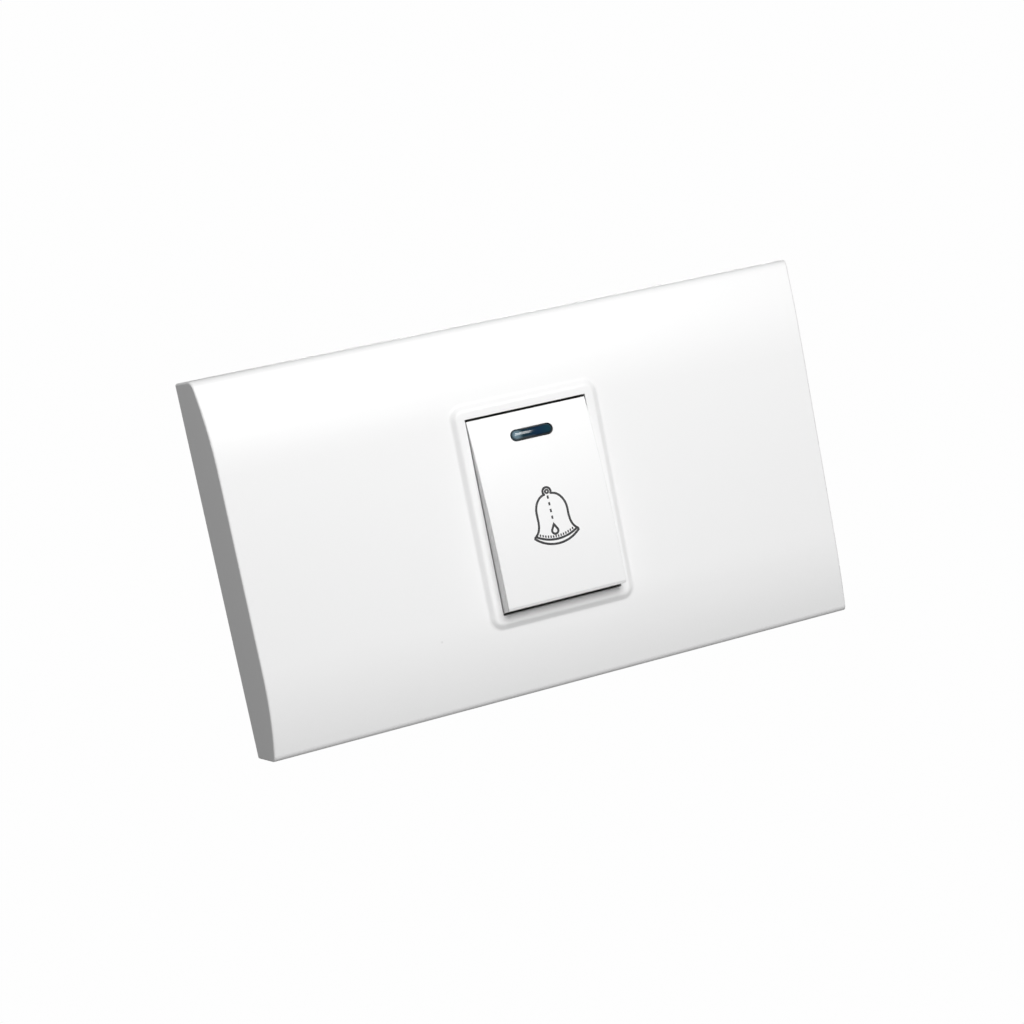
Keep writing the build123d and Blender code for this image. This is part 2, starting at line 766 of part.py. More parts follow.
lamp_end = lamp_length / 2
inner_turn = lamp_end + lead_turn
outer_turn = inner_turn + lead_step
strip_top = leg_top_z + solder_gap
lead_routes = [
    [
        (lamp_end, lamp_y, lamp_z - lead_spread / 2),
        (inner_turn, lamp_y, lamp_z - lead_spread / 2),
        (inner_turn, resistor_y, resistor_z),
        (resistor_length / 2, resistor_y, resistor_z),
    ],
    [
        (lamp_end, lamp_y, lamp_z + lead_spread / 2),
        (outer_turn, lamp_y, lamp_z + lead_spread / 2),
        (outer_turn, resistor_y, lamp_z - lead_slant),
        (outer_turn, resistor_y, strip_top),
    ],
    [
        (-resistor_length / 2, resistor_y, resistor_z),
        (-contact_spacing / 2, resistor_y, resistor_z),
        (-contact_spacing / 2, resistor_y, strip_top),
    ],
]

with BuildPart() as lamp_leads:
    for route in lead_routes:
        with BuildLine() as lead:
            FilletPolyline(*route, radius=lead_bend_radius)
        with BuildSketch(Plane(origin=lead.line @ 0, z_dir=lead.line % 0)):
            Circle(lead_radius)
        sweep(path=lead.line)

# Switch housing
stop_corner = when_pressed(on_rocker(-skirt_end, -rocker_skirt))
stop_z = stop_corner.Z + stop_height / 2
back_boss_radius = back_screw_radius + back_boss_wall
back_lip_inside = back_lip_gap + back_lip
back_screw_reach = housing_inner_height / 2 - back_lip_inside - back_boss_gap - back_boss_radius
back_screw_places = [(0, -back_screw_reach), (0, back_screw_reach)]
catch_front_y = frame_back_y + catch_gap
catch_outline = [
    (catch_front_y, housing_height / 2),
    (catch_front_y, housing_height / 2 + catch_reach),
    (catch_front_y + catch_length, housing_height / 2),
]

with BuildPart() as switch_housing:
    with BuildSketch(at_y(housing_back_y)):
        RectangleRounded(housing_width, housing_height, housing_corner_radius)
    extrude(amount=housing_back_y - housing_front_y)
    with BuildSketch(at_y(frame_front_y)):
        Rectangle(flange_width, housing_height + 2 * flange_reach)
    extrude(amount=flange_thickness)
    for side in (1, -1):
        with BuildSketch(Plane.YZ):
            with BuildLine():
                Polyline(*[(y, side * z) for y, z in catch_outline], close=True)
            make_face()
        extrude(amount=catch_width / 2, both=True)
    with BuildSketch(at_y(floor_y)):
        Rectangle(housing_inner_width, housing_inner_height)
    extrude(amount=2 * chamber_depth, mode=Mode.SUBTRACT)
    with BuildSketch(at_y(floor_back_y)):
        Rectangle(housing_inner_width, housing_inner_height)
    extrude(amount=-2 * terminal_room, mode=Mode.SUBTRACT)
    with BuildSketch(at_y(housing_front_y + lip_thickness)):
        with Locations((0, -(opening_height + opening_relief + housing_end_room) / 2)):
            Rectangle(stop_lug_width + housing_wall, housing_end_room - opening_relief)
    extrude(amount=lip_thickness)
    with BuildSketch(Plane.YZ):
        with Locations((pivot.Y, pivot.Z)):
            Circle(axle_radius + running_gap)
    extrude(amount=housing_width, both=True, mode=Mode.SUBTRACT)
    with BuildSketch(at_y(floor_y)):
        arm_support = leg_z - strip_thickness - arm_low_z
        with Locations(*[(x, arm_low_z + arm_support / 2) for x, _ in terminal_places]):
            Rectangle(strip_width, arm_support - strip_bend_radius)
    extrude(amount=floor_y - arm_back_y)
    with BuildSketch(at_y(floor_y)):
        with Locations(*[(x, leg_z) for x, _ in terminal_places]):
            Rectangle(strip_width + 2 * strip_gap, strip_thickness + 2 * strip_gap)
    extrude(amount=-floor_thickness, mode=Mode.SUBTRACT)
    with BuildSketch(at_y(floor_y)):
        with Locations((0, spring_z)):
            Circle(spring_pin_radius)
    extrude(amount=spring_pin_length)
    with BuildSketch(at_y(floor_y)):
        with Locations((-stop_spacing / 2, stop_z), (stop_spacing / 2, stop_z)):
            Rectangle(stop_width, stop_height)
    extrude(amount=floor_y - stop_corner.Y - stop_gap)
    with BuildSketch(at_y(floor_y)):
        with Locations((-saddle_spacing / 2, lamp_z), (saddle_spacing / 2, lamp_z)):
            Rectangle(saddle_width, saddle_height)
    extrude(amount=floor_y - lamp_y)
    with BuildSketch(Plane.YZ):
        with Locations((lamp_y, lamp_z)):
            Circle(lamp_radius + seat_gap)
    extrude(amount=saddle_spacing, both=True, mode=Mode.SUBTRACT)
    with BuildSketch(at_y(floor_back_y)):
        with Locations(*back_screw_places):
            Circle(back_boss_radius)
            Circle(back_screw_radius + thread_gap, mode=Mode.SUBTRACT)
    extrude(amount=-terminal_room)
    with BuildSketch(Plane.XY.offset(-housing_height / 2)):
        wire_y = (tab_back_y + clamp_front_y) / 2
        wire_x = contact_spacing / 2 + terminal_screw_radius + wire_space / 2
        with Locations((-wire_x, wire_y), (wire_x, wire_y)):
            Circle(wire_hole_radius)
    extrude(amount=housing_wall, mode=Mode.SUBTRACT)

with BuildPart() as housing_back:
    with BuildSketch(at_y(housing_back_y + back_thickness)):
        RectangleRounded(housing_width, housing_height, housing_corner_radius)
    extrude(amount=back_thickness)
    with BuildSketch(at_y(housing_back_y)):
        Rectangle(housing_inner_width - 2 * back_lip_gap, housing_inner_height - 2 * back_lip_gap)
        Rectangle(
            housing_inner_width - 2 * back_lip_inside,
            housing_inner_height - 2 * back_lip_inside,
            mode=Mode.SUBTRACT,
        )
    extrude(amount=back_lip)
    with BuildSketch(at_y(housing_back_y)):
        with Locations(*terminal_places):
            Circle(terminal_head_radius + screwdriver_gap)
        with Locations(*back_screw_places):
            Circle(back_screw_radius + clamp_hole_gap)
    extrude(amount=-back_thickness, mode=Mode.SUBTRACT)

with BuildPart() as housing_screws:
    with BuildSketch(at_y(housing_back_y + back_thickness)):
        with Locations(*back_screw_places):
            Circle(back_screw_head_radius)
    extrude(amount=-back_screw_head_height)
    with BuildSketch(at_y(housing_back_y + back_thickness)):
        with Locations(*back_screw_places):
            Circle(back_screw_radius)
    extrude(amount=back_screw_length)
    with BuildSketch(at_y(housing_back_y + back_thickness + back_screw_head_height)):
        with Locations(*back_screw_places):
            Rectangle(2 * back_screw_head_radius, terminal_slot_width)
    extrude(amount=back_slot_depth, mode=Mode.SUBTRACT)

pieces = {
    "cover_plate": cover_plate,
    "mounting_frame": mounting_frame,
    "box_screws": box_screws,
    "rocker": rocker,
    "indicator_lens": indicator_lens,
    "bell_symbol": bell_symbol,
    "contact_bridge": contact_bridge,
    "bridge_tips": bridge_tips,
    "bridge_spring": bridge_spring,
    "return_spring": return_spring,
    "left_terminal": left_terminal,
    "right_terminal": right_terminal,
    "fixed_tips": fixed_tips,
    "terminal_clamps": terminal_clamps,
    "terminal_screws": terminal_screws,
    "neon_lamp": neon_lamp,
    "lamp_resistor": lamp_resistor,
    "lamp_leads": lamp_leads,
    "switch_housing": switch_housing,
    "housing_back": housing_back,
    "housing_screws": housing_screws,
}

os.makedirs("parts", exist_ok=True)
for name, piece in pieces.items():
    piece.part.label = name
    export_step(piece.part, f"parts/{name}.step")
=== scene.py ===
"""The doorbell switch, dressed: moulded white plastic, tinted lens, printed bell, threaded wall box screws
and a coiled return spring."""

from math import cos, pi, radians, sin

import bmesh
import bpy
import numpy as np
from mathutils import Matrix, Vector


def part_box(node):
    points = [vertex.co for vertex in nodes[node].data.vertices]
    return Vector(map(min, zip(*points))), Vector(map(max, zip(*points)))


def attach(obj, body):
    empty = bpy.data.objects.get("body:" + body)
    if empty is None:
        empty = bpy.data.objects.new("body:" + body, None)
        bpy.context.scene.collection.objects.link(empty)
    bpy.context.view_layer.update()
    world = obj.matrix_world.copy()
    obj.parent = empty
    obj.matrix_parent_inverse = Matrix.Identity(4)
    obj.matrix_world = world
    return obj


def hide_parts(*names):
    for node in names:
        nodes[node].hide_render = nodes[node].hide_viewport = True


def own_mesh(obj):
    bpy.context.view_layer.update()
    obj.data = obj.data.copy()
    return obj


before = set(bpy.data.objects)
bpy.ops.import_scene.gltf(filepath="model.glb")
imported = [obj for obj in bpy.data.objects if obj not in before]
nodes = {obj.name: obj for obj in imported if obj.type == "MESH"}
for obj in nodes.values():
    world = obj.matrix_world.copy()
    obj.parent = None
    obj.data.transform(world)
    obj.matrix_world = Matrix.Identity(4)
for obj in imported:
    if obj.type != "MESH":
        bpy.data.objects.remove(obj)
scene = bpy.context.scene


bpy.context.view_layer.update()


# Shader nodes
def node(tree, kind, links=None, **settings):
    """Node of that kind, with its settings, and its named inputs set or linked."""
    made = tree.nodes.new(kind)
    for key, value in settings.items():
        setattr(made, key, value)
    for socket, value in (links or {}).items():
        if isinstance(value, bpy.types.NodeSocket):
            tree.links.new(value, made.inputs[socket])
        else:
            made.inputs[socket].default_value = value
    return made


def object_place(tree):
    """Place on the piece, in the shared frame."""
    return node(tree, "ShaderNodeTexCoord").outputs["Object"]


def math_node(tree, operation, *values, **settings):
    """Result of an operation on sockets or numbers."""
    return node(tree, "ShaderNodeMath", dict(enumerate(values)), operation=operation, **settings).outputs[0]


def vector_node(tree, operation, *values):
    """Result of an operation on vectors."""
    made = node(tree, "ShaderNodeVectorMath", dict(enumerate(values)), operation=operation)
    return made.outputs["Vector"]


def scaled(tree, colour, factor):
    """Colour times a factor."""
    made = node(tree, "ShaderNodeVectorMath", {0: colour, "Scale": factor}, operation="SCALE")
    return made.outputs["Vector"]


def between(tree, value, start, end, low=0.0, high=1.0, **settings):
    """Goes from low to high while the value goes from start to end."""
    ends = {"From Min": start, "From Max": end, "To Min": low, "To Max": high}
    return node(tree, "ShaderNodeMapRange", {"Value": value, **ends}, **settings).outputs["Result"]


def noise(tree, place, scale, detail, roughness=0.5):
    """Cloudy noise from 0 to 1."""
    settings = {"Scale": scale, "Detail": detail, "Roughness": roughness}
    return node(tree, "ShaderNodeTexNoise", {"Vector": place, **settings}).outputs["Fac"]


def relief(tree, height, depth, strength):
    """Normal of a skin with that height pattern, depth metres deep."""
    settings = {"Strength": strength, "Distance": depth}
    return node(tree, "ShaderNodeBump", {"Height": height, **settings}).outputs["Normal"]


def colour_ramp(tree, share, stops, interpolation="LINEAR"):
    """Colour along a share from 0 to 1, by stops of a place and a colour, in order."""
    ramp = node(tree, "ShaderNodeValToRGB", {"Fac": share})
    ramp.color_ramp.interpolation = interpolation
    elements = ramp.color_ramp.elements
    elements[0].position, elements[0].color = stops[0]
    elements[1].position, elements[1].color = stops[-1]
    for place, colour in stops[1:-1]:
        elements.new(place).color = colour
    return ramp.outputs["Color"]


def grey(value):
    """Neutral colour of that brightness."""
    return (value, value, value, 1.0)


# Shared skins
skin_results = {"Colour": "NodeSocketColor", "Roughness": "NodeSocketFloat", "Normal": "NodeSocketVector"}


def new_skin(name, inputs):
    """Shader node group with the named inputs and a skin's three results, and the sockets of its inputs."""
    group = bpy.data.node_groups.new(name, "ShaderNodeTree")
    for label, kind, default in inputs:
        socket = group.interface.new_socket(label, in_out="INPUT", socket_type=kind)
        socket.default_value = default
    for label, kind in skin_results.items():
        group.interface.new_socket(label, in_out="OUTPUT", socket_type=kind)
    return group, group.nodes.new("NodeGroupInput").outputs


def put_out(group, colour, roughness, normal):
    """Ends a skin's group with its three results."""
    node(group, "NodeGroupOutput", {"Colour": colour, "Roughness": roughness, "Normal": normal})


grain_relief = 0.00006
cloud_scale = 55.0
cloud_roughening = 0.08
dust_scale = 85.0            # cells to the metre, of which a few hold a speck
speck_core = 0.012           # share of a cell that a speck fills, and where it has faded out
speck_rim = 0.022
clean_cells = 0.93


def moulded_skin_group():
    """Skin of a plastic moulding: fine grain from the tool, faint clouding of the white, and a few specks."""
    group, given = new_skin(
        "moulded_skin",
        [
            ("Colour", "NodeSocketColor", grey(0.8)),
            ("Grain Scale", "NodeSocketFloat", 3000.0),
            ("Grain Depth", "NodeSocketFloat", 0.1),
            ("Clouding", "NodeSocketFloat", 0.02),
            ("Specks", "NodeSocketFloat", 0.3),
            ("Roughness", "NodeSocketFloat", 0.4),
        ],
    )
    place = object_place(group)
    grain = noise(group, place, given["Grain Scale"], detail=3.0)
    cloud = noise(group, place, cloud_scale, detail=4.0, roughness=0.6)
    dust = node(group, "ShaderNodeTexVoronoi", {"Vector": place, "Scale": dust_scale, "Randomness": 1.0})
    speck = between(group, dust.outputs["Distance"], speck_core, speck_rim, low=1.0, high=0.0)
    drawn_lot = node(group, "ShaderNodeSeparateColor", {"Color": dust.outputs["Color"]}).outputs["Red"]
    chosen = math_node(group, "GREATER_THAN", drawn_lot, clean_cells)
    speck_here = math_node(group, "MULTIPLY", speck, chosen)
    speck_dark = math_node(group, "MULTIPLY", speck_here, given["Specks"])
    cloud_dark = math_node(group, "MULTIPLY", cloud, given["Clouding"])
    darker = math_node(group, "ADD", speck_dark, cloud_dark)
    shade = math_node(group, "SUBTRACT", 1.0, darker, use_clamp=True)
    put_out(
        group,
        colour=scaled(group, given["Colour"], shade),
        roughness=math_node(group, "MULTIPLY_ADD", cloud, cloud_roughening, given["Roughness"]),
        normal=relief(group, grain, grain_relief, given["Grain Depth"]),
    )
    return group


streak_relief = 0.00004
tarnish_scale = 420.0
tarnish_start = 0.42         # value of the noise where tarnish sets in, and where it is full
tarnish_full = 0.72
tarnish_roughening = 0.35


def metal_skin_group():
    """Skin of a small metal piece: drawn or rolled streaks along one axis, and uneven tarnish."""
    group, given = new_skin(
        "metal_skin",
        [
            ("Colour", "NodeSocketColor", grey(0.8)),
            ("Tarnish", "NodeSocketColor", grey(0.4)),
            ("Tarnish Amount", "NodeSocketFloat", 0.3),
            ("Streaks", "NodeSocketVector", (900.0, 9000.0, 9000.0)),
            ("Streak Depth", "NodeSocketFloat", 0.1),
            ("Roughness", "NodeSocketFloat", 0.3),
        ],
    )
    place = object_place(group)
    streak = noise(group, vector_node(group, "MULTIPLY", place, given["Streaks"]), scale=1.0, detail=2.0)
    patch = noise(group, place, tarnish_scale, detail=5.0, roughness=0.65)
    patch_here = between(group, patch, tarnish_start, tarnish_full)
    amount = math_node(group, "MULTIPLY", patch_here, given["Tarnish Amount"])
    mix = node(
        group, "ShaderNodeMix", {0: amount, 6: given["Colour"], 7: given["Tarnish"]}, data_type="RGBA"
    )
    put_out(
        group,
        colour=mix.outputs[2],
        roughness=math_node(group, "MULTIPLY_ADD", amount, tarnish_roughening, given["Roughness"]),
        normal=relief(group, streak, streak_relief, given["Streak Depth"]),
    )
    return group


moulded_skin = moulded_skin_group()
metal_skin = metal_skin_group()


# Materials
def new_material(name, **shader):
    """Material whose Principled shader has those values, its tree, and the shader's inputs."""
    material = bpy.data.materials.new(name)
    material.use_nodes = True
    inputs = material.node_tree.nodes["Principled BSDF"].inputs
    for label, value in shader.items():
        inputs[label.replace("_", " ")].default_value = value
    return material, material.node_tree, inputs


def skinned(name, group, values, **shader):
    """Material whose colour, roughness and normal come from a shared skin, with its own values."""
    material, tree, inputs = new_material(name, **shader)
    skin = node(tree, "ShaderNodeGroup", node_tree=group)
    for label, value in values.items():
        skin.inputs[label].default_value = value
    tree.links.new(skin.outputs["Colour"], inputs["Base Color"])
    tree.links.new(skin.outputs["Roughness"], inputs["Roughness"])
    tree.links.new(skin.outputs["Normal"], inputs["Normal"])
    return material


plate_white = skinned(
    "plate_white",
    moulded_skin,
    {"Colour": grey(0.86), "Grain Scale": 2600.0, "Grain Depth": 0.12, "Clouding": 0.015, "Specks": 0.12,
     "Roughness": 0.42},
)
rocker_white = skinned(
    "rocker_white",
    moulded_skin,
    {"Colour": grey(0.85), "Grain Scale": 3200.0, "Grain Depth": 0.06, "Clouding": 0.01, "Specks": 0.15,
     "Roughness": 0.42},
)
frame_grey = skinned(
    "frame_grey",
    moulded_skin,
    {"Colour": (0.52, 0.53, 0.54, 1.0), "Grain Scale": 1700.0, "Grain Depth": 0.3, "Clouding": 0.06,
     "Specks": 0.2, "Roughness": 0.5},
)
housing_white = skinned(
    "housing_white",
    moulded_skin,
    {"Colour": (0.74, 0.73, 0.69, 1.0), "Grain Scale": 2000.0, "Grain Depth": 0.2, "Clouding": 0.05,
     "Specks": 0.2, "Roughness": 0.46},
)
screw_zinc = skinned(
    "screw_zinc",
    metal_skin,
    {"Colour": (0.74, 0.74, 0.72, 1.0), "Tarnish": (0.42, 0.40, 0.36, 1.0), "Tarnish Amount": 0.35,
     "Streaks": (5000.0, 900.0, 5000.0), "Streak Depth": 0.15, "Roughness": 0.28},
    Metallic=1.0,
)
spring_steel = skinned(
    "spring_steel",
    metal_skin,
    {"Colour": (0.60, 0.60, 0.61, 1.0), "Tarnish": (0.30, 0.29, 0.28, 1.0), "Tarnish Amount": 0.25,
     "Streak Depth": 0.08, "Roughness": 0.25},
    Metallic=1.0,
)
contact_brass = skinned(
    "contact_brass",
    metal_skin,
    {"Colour": (0.80, 0.58, 0.24, 1.0), "Tarnish": (0.42, 0.27, 0.10, 1.0), "Tarnish Amount": 0.45,
     "Streaks": (7000.0, 7000.0, 700.0), "Streak Depth": 0.12, "Roughness": 0.26},
    Metallic=1.0,
)
contact_silver = skinned(
    "contact_silver",
    metal_skin,
    {"Colour": (0.88, 0.87, 0.85, 1.0), "Tarnish": (0.45, 0.42, 0.38, 1.0), "Tarnish Amount": 0.25,
     "Streak Depth": 0.05, "Roughness": 0.2},
    Metallic=1.0,
)
tinned_wire = skinned(
    "tinned_wire",
    metal_skin,
    {"Colour": (0.76, 0.76, 0.75, 1.0), "Tarnish": (0.50, 0.49, 0.47, 1.0), "Tarnish Amount": 0.3,
     "Streak Depth": 0.06, "Roughness": 0.3},
    Metallic=1.0,
)

lens_half_run = 0.00303      # from the lens's middle to the centre of its round ends
lens_end_radius = 0.00107
lens_face_rise = 0.00033     # the middle of its face above the middle of its box
# Painted shade round the lens's edge: where it starts, where it is darkest, and how dark it gets there.
lens_shade_start = 0.45 * lens_end_radius    # from the middle line to where the painted edge shade starts
lens_shade_full = 0.85 * lens_end_radius    # and to where it is darkest
lens_edge_shade = 0.22
lens_tints = [
    (0.05, (0.15, 0.23, 0.28, 1.0)),
    (0.17, (0.13, 0.20, 0.24, 1.0)),
    (0.27, (0.008, 0.030, 0.044, 1.0)),
    (0.62, (0.004, 0.022, 0.055, 1.0)),
    (0.88, (0.006, 0.036, 0.056, 1.0)),
]


def lens_material():
    """Tinted, polished lens: deep blue to teal along its length and paler at its left end, with painted shade
    darkening it round its edge. The distance from its middle line, which ends at the centres of its round
    ends, gives the edge."""
    material, tree, inputs = new_material("lens_teal", Roughness=0.13, IOR=1.40)
    low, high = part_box("indicator_lens")
    middle = (low + high) / 2 + Vector((0.0, 0.0, lens_face_rise))
    from_middle = vector_node(tree, "SUBTRACT", object_place(tree), middle)
    parts = node(tree, "ShaderNodeSeparateXYZ", {"Vector": from_middle}).outputs
    reach = math_node(tree, "ABSOLUTE", parts["X"])
    past_run = math_node(tree, "SUBTRACT", reach, lens_half_run)
    beyond = math_node(tree, "MAXIMUM", past_run, 0.0)
    offset = node(tree, "ShaderNodeCombineXYZ", {"X": beyond, "Z": parts["Z"]}).outputs["Vector"]
    from_line = node(tree, "ShaderNodeVectorMath", {0: offset}, operation="LENGTH").outputs["Value"]
    # Painted shade: the base colour darkens from the middle line towards the lens's edge, standing in for the
    # shade round it.
    depth = between(
        tree, from_line, lens_shade_start, lens_shade_full, low=1.0, high=lens_edge_shade,
        interpolation_type="SMOOTHSTEP",
    )
    lens_reach = lens_half_run + lens_end_radius
    along = between(tree, parts["X"], -lens_reach, lens_reach)
    tint = colour_ramp(tree, along, lens_tints)
    tree.links.new(scaled(tree, tint, depth), inputs["Base Color"])
    return material


ink_patch_scale = 2600.0
ink_tones = [(0.3, (0.018, 0.018, 0.020, 1.0)), (0.75, (0.05, 0.05, 0.052, 1.0))]


def ink_material():
    """Printed ink: soft black, a little thin in places."""
    material, tree, inputs = new_material("symbol_ink", Roughness=0.55)
    uneven = noise(tree, object_place(tree), ink_patch_scale, detail=3.0)
    tree.links.new(colour_ramp(tree, uneven, ink_tones), inputs["Base Color"])
    return material


flow_scale = 700.0
flow_relief = 0.0001
flow_strength = 0.1


def lamp_material():
    """Clear glass of the glow lamp, with fine flow marks."""
    material, tree, inputs = new_material(
        "lamp_glass", Base_Color=(0.95, 0.82, 0.70, 1.0), Roughness=0.05, Transmission_Weight=1.0, IOR=1.5
    )
    flow = noise(tree, object_place(tree), flow_scale, detail=2.0)
    tree.links.new(relief(tree, flow, flow_relief, flow_strength), inputs["Normal"])
    return material


lacquer_tan = (0.55, 0.40, 0.22, 1.0)
resistor_bands = [
    (0.0, lacquer_tan),
    (0.18, (0.16, 0.06, 0.02, 1.0)),
    (0.28, lacquer_tan),
    (0.36, (0.02, 0.10, 0.04, 1.0)),
    (0.46, lacquer_tan),
    (0.54, (0.75, 0.55, 0.05, 1.0)),
    (0.64, lacquer_tan),
    (0.78, (0.55, 0.36, 0.10, 1.0)),
    (0.88, lacquer_tan),
]


def resistor_material():
    """Tan lacquered body with colour bands along its length."""
    material, tree, inputs = new_material("resistor_tan", Roughness=0.35)
    low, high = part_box("lamp_resistor")
    along = node(tree, "ShaderNodeSeparateXYZ", {"Vector": object_place(tree)}).outputs["X"]
    share = between(tree, along, low.x, high.x)
    tree.links.new(colour_ramp(tree, share, resistor_bands, "CONSTANT"), inputs["Base Color"])
    return material


finishes = {
    "cover_plate": plate_white,
    "rocker": rocker_white,
    "indicator_lens": lens_material(),
    "bell_symbol": ink_material(),
    "mounting_frame": frame_grey,
    "switch_housing": housing_white,
    "housing_back": housing_white,
    "box_screws": screw_zinc,
    "housing_screws": screw_zinc,
    "terminal_screws": screw_zinc,
    "terminal_clamps": screw_zinc,
    "contact_bridge": contact_brass,
    "left_terminal": contact_brass,
    "right_terminal": contact_brass,
    "bridge_tips": contact_silver,
    "fixed_tips": contact_silver,
    "bridge_spring": spring_steel,
    "return_spring": spring_steel,
    "neon_lamp": lamp_material(),
    "lamp_resistor": resistor_material(),
    "lamp_leads": tinned_wire,
}
for name, material in finishes.items():
    nodes[name].data.materials.clear()
    nodes[name].data.materials.append(material)


# Pieces made as surfaces
sharp_angle = radians(50)


def put_in_scene(name, data):
    """Object of that name, linked to the scene."""
    made = bpy.data.objects.new(name, data)
    scene.collection.objects.link(made)
    return made


def tube_faces(rows, columns):
    """Faces of a closed tube: quads between neighbouring rings of points, and a fan to a pole at each end.
    The points are the rings in order, each turning right-handed about the way along, then the first pole and
    the last."""
    i, j = np.meshgrid(np.arange(rows - 1), np.arange(columns), indexing="ij")
    k = (j + 1) % columns
    corners = [i * columns + j, i * columns + k, (i + 1) * columns + k, (i + 1) * columns + j]
    sides = np.stack(corners, axis=-1)
    first = np.arange(columns)
    last = (rows - 1) * columns + first
    pole = rows * columns
    first_fan = np.stack([np.roll(first, -1), first, np.full(columns, pole)], axis=-1)
    last_fan = np.stack([last, np.roll(last, -1), np.full(columns, pole + 1)], axis=-1)
    return sides.reshape(-1, 4).tolist() + first_fan.tolist() + last_fan.tolist()


def smooth_piece(name, points, faces, material):
    """Object of that name, smooth except along its sharp edges."""
    mesh = bpy.data.meshes.new(name)
    mesh.from_pydata(points, [], faces)
    mesh.polygons.foreach_set("use_smooth", np.ones(len(mesh.polygons), dtype=bool))
    mesh.set_sharp_from_angle(angle=sharp_angle)
    mesh.materials.append(material)
    return put_in_scene(name, mesh)


# Threaded wall box screws
screw_spacing = 0.0835
thread_start = 0.0           # the wall plane
thread_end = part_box("box_screws")[1].y
thread_crest = 0.00175
thread_root = 0.00140
thread_pitch = 0.0006
thread_flat = 0.04           # share of the thread's height that its root keeps
tip_length = 0.0009
neck_overlap = 0.0002
neck_share = 0.9             # radius of the first ring, inside the neck
rows_per_pitch = 12
thread_columns = 40
merge_distance = 1e-7
plane_tolerance = 1e-6


def threaded_shank(x):
    """Shank along Y about x. Its radius swings between root and crest as a cosine of the place along the
    screw, in pitches, less the share of a turn, so the ridge climbs one pitch a turn. The ridge fades in over
    the first turn, the tip is cut to a cone, the first ring lies inside the neck, and a point closes each
    end."""
    rows = int((thread_end - thread_start) / thread_pitch * rows_per_pitch)
    places = np.linspace(thread_start, thread_end, rows)
    places = np.concatenate([[thread_start - neck_overlap], places])
    along, turn = np.meshgrid(places, np.arange(thread_columns) / thread_columns, indexing="ij")
    ridge = 0.5 - 0.5 * np.cos(2 * pi * (along / thread_pitch - turn))
    ridge *= np.clip((along - thread_start) / thread_pitch, 0, 1)
    radius = thread_root + (thread_crest - thread_root) * (thread_flat + (1 - thread_flat) * ridge)
    cone = thread_crest - np.clip(along - thread_end + tip_length, 0, tip_length)
    radius = np.minimum(radius, cone)
    radius[0] *= neck_share
    angle = 2 * pi * turn
    rings = np.stack([x + radius * np.cos(angle), along, -radius * np.sin(angle)], axis=-1)
    poles = np.array([[x, places[0], 0.0], [x, places[-1], 0.0]])
    return np.concatenate([rings.reshape(-1, 3), poles]), tube_faces(len(places), thread_columns)


def screw_heads():
    """Heads and necks of both screws: a merged copy of the CAD node, cut off and closed at the wall plane."""
    work = bmesh.new()
    work.from_mesh(nodes["box_screws"].data)
    bmesh.ops.remove_doubles(work, verts=work.verts, dist=merge_distance)
    wall_plane = thread_start - plane_tolerance
    shanks = [face for face in work.faces if face.calc_center_median().y > wall_plane]
    bmesh.ops.delete(work, geom=shanks, context="FACES")
    bmesh.ops.holes_fill(work, edges=[edge for edge in work.edges if edge.is_boundary], sides=0)
    bmesh.ops.recalc_face_normals(work, faces=work.faces)
    heads = bpy.data.meshes.new("screw_heads")
    work.to_mesh(heads)
    work.free()
    points = np.empty(3 * len(heads.vertices))
    heads.vertices.foreach_get("co", points)
    return points.reshape(-1, 3), [list(face.vertices) for face in heads.polygons]


def threaded_screws():
    """Both wall box screws as one piece: their heads and necks, and a threaded shank each."""
    forms = [screw_heads(), threaded_shank(-screw_spacing / 2), threaded_shank(screw_spacing / 2)]
    points, faces, count = [], [], 0
    for form_points, form_faces in forms:
        points.append(form_points)
        faces += [[corner + count for corner in face] for face in form_faces]
        count += len(form_points)
    screws = smooth_piece("threaded_screws", np.concatenate(points), faces, screw_zinc)
    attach(screws, "base")
    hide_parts("box_screws")


threaded_screws()


# Return spring
spring_front, spring_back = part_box("return_spring")
spring_middle = (spring_front + spring_back) / 2
spring_length = spring_back.y - spring_front.y
wire_radius = 0.0002
wire_columns = 12
coil_turns = 8.5
closed_turns = 0.8           # turns that lie close at each end
opening_turns = 0.6          # over which the pitch then grows
closed_pitch = 2.2 * wire_radius    # of turns that almost touch
rows_per_turn = 48


def spring_wire():
    """Round wire carried along a helix about Y, from the foot at the back to the front end. The way along Y
    is the running sum of the pitch, which is small over the end turns and grows smoothly to an even one
    between them. A circle across the helix, in its radial and its binormal direction, gives the wire, and a
    point closes each end."""
    turn = np.linspace(0, coil_turns, int(coil_turns * rows_per_turn) + 1)
    past_closed = np.clip((np.minimum(turn, coil_turns - turn) - closed_turns) / opening_turns, 0, 1)
    openness = past_closed**2 * (3 - 2 * past_closed)
    climbed = np.concatenate([[0], np.cumsum((openness[1:] + openness[:-1]) / 2)])
    open_run = spring_length - 2 * wire_radius - closed_pitch * coil_turns
    along = spring_back.y - wire_radius - closed_pitch * turn - open_run * climbed / climbed[-1]
    coil_radius = (spring_back.x - spring_front.x) / 2 - wire_radius
    outwards = np.stack([np.cos(2 * pi * turn), np.zeros_like(turn), np.sin(2 * pi * turn)], axis=-1)
    axis_points = [np.full_like(turn, spring_middle.x), along, np.full_like(turn, spring_middle.z)]
    centres = coil_radius * outwards + np.stack(axis_points, axis=-1)
    forwards = np.gradient(centres, axis=0)
    forwards /= np.linalg.norm(forwards, axis=1, keepdims=True)
    across = np.cross(forwards, outwards)
    angle = 2 * pi * np.arange(wire_columns)[None, :, None] / wire_columns
    circle = np.cos(angle) * outwards[:, None] + np.sin(angle) * across[:, None]
    rings = centres[:, None] + wire_radius * circle
    return np.concatenate([rings.reshape(-1, 3), centres[[0, -1]]]), tube_faces(len(turn), wire_columns)


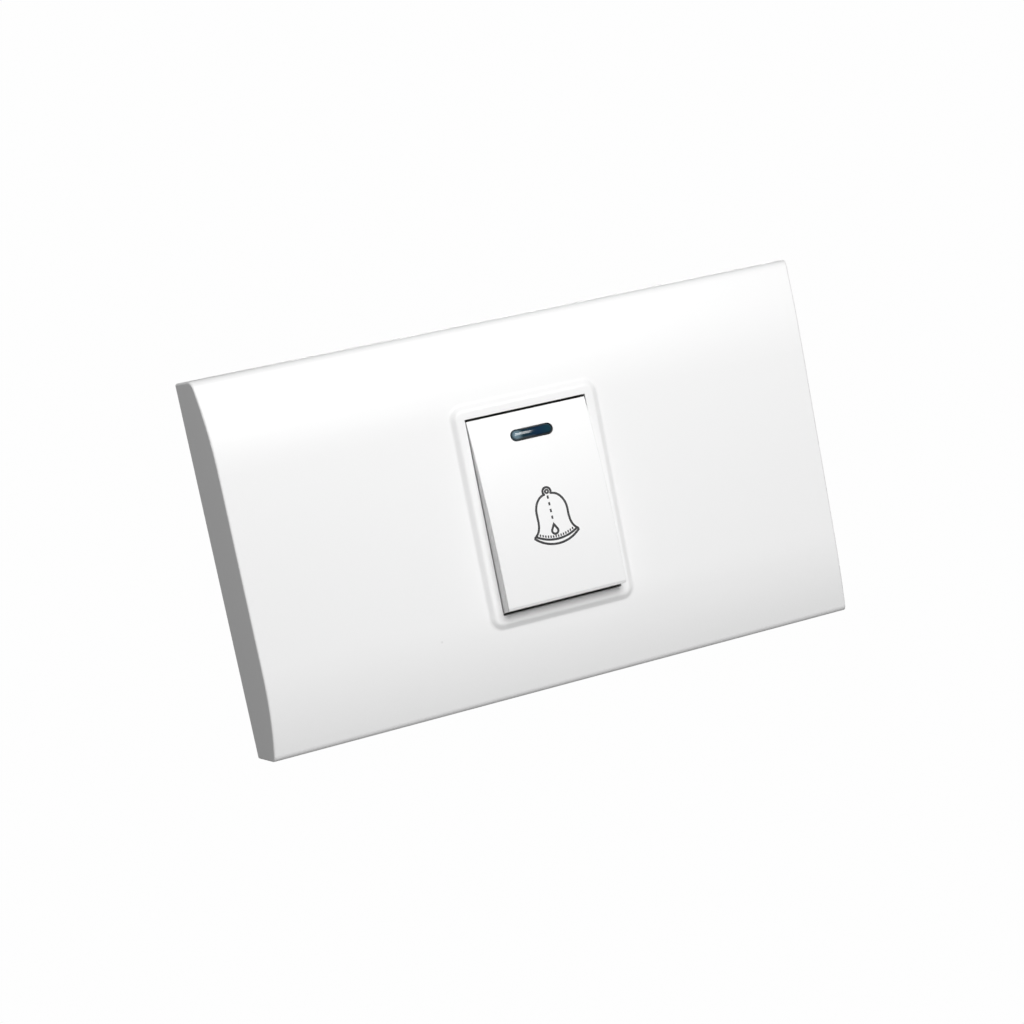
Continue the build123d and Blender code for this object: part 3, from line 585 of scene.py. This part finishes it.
def coiled_spring():
    """The return spring."""
    spring = smooth_piece("coiled_spring", *spring_wire(), spring_steel)
    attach(spring, "base")
    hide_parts("return_spring")
    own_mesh(spring)


coiled_spring()


# Floor
backdrop_white = 0.99        # of the floor and the background, as the camera sees them
floor_level = -0.6
floor_reach = 8.0


def floor_material():
    """Plain white floor, which neither shades nor mirrors."""
    return new_material(
        "floor_white", Base_Color=grey(0.0), Specular_IOR_Level=0.0, Emission_Color=grey(1.0),
        Emission_Strength=backdrop_white,
    )[0]


floor_mesh = bpy.data.meshes.new("floor")
floor_mesh.from_pydata(
    [(sx * floor_reach, sy * floor_reach, floor_level) for sx, sy in ((-1, -1), (1, -1), (1, 1), (-1, 1))],
    [],
    [(0, 1, 2, 3)],
)
floor_mesh.materials.append(floor_material())
floor = put_in_scene("floor", floor_mesh)
floor.visible_diffuse = False
floor.visible_glossy = False


# Light
def soft_light(name, place, size, watts):
    """Round soft light that looks at the switch."""
    lamp = bpy.data.lights.new(name, "AREA")
    lamp.shape = "DISK"
    lamp.size = size
    lamp.energy = watts
    light = put_in_scene(name, lamp)
    light.location = place
    light.rotation_euler = (-Vector(place)).to_track_quat("-Z", "Y").to_euler()


soft_light("key_light", (0.01, -0.442, 0.253), size=0.26, watts=2.46)
soft_light("low_fill", (0.0, -0.3, -0.45), size=0.4, watts=0.48)
soft_light("back_light", (0.22, 0.6, 0.05), size=0.4, watts=2.0)
soft_light("back_fill", (-0.05, 0.6, -0.1), size=0.28, watts=1.0)

even_fill = 0.158            # light from all round
world = bpy.data.worlds.new("studio")
scene.world = world
world.use_nodes = True
sky = world.node_tree
sky.nodes.clear()
seen = node(sky, "ShaderNodeBackground", {"Color": grey(1.0), "Strength": backdrop_white}).outputs[0]
fill = node(sky, "ShaderNodeBackground", {"Color": grey(1.0), "Strength": even_fill}).outputs[0]
seen_here = node(sky, "ShaderNodeLightPath").outputs["Is Camera Ray"]
both = node(sky, "ShaderNodeMixShader", {0: seen_here, 1: fill, 2: seen}).outputs[0]
node(sky, "ShaderNodeOutputWorld", {"Surface": both})
scene.view_settings.view_transform = "Standard"


# Camera
camera_yaw = radians(-15.27)
camera_pitch = radians(7.76)
camera_roll = radians(-11.22)
camera_distance = 0.3233
camera_target = Vector((-0.00369, 0.0, -0.00130))
camera_lens = 60.08
camera_sensor = 36.0
camera_clip = 0.01

backwards = Vector(
    (sin(camera_yaw) * cos(camera_pitch), -cos(camera_yaw) * cos(camera_pitch), sin(camera_pitch))
)
level_right = (-backwards).cross(Vector((0, 0, 1))).normalized()
level_up = level_right.cross(-backwards)
rolled_right = cos(camera_roll) * level_right + sin(camera_roll) * level_up
rolled_up = cos(camera_roll) * level_up - sin(camera_roll) * level_right
camera_data = bpy.data.cameras.new("photo_camera")
camera_data.sensor_width = camera_sensor
camera_data.lens = camera_lens
camera_data.clip_start = camera_clip
camera = put_in_scene("photo_camera", camera_data)
camera_turn = Matrix((rolled_right, rolled_up, backwards)).transposed().to_4x4()
camera.matrix_world = Matrix.Translation(camera_target + camera_distance * backwards) @ camera_turn
bpy.context.scene.camera = camera
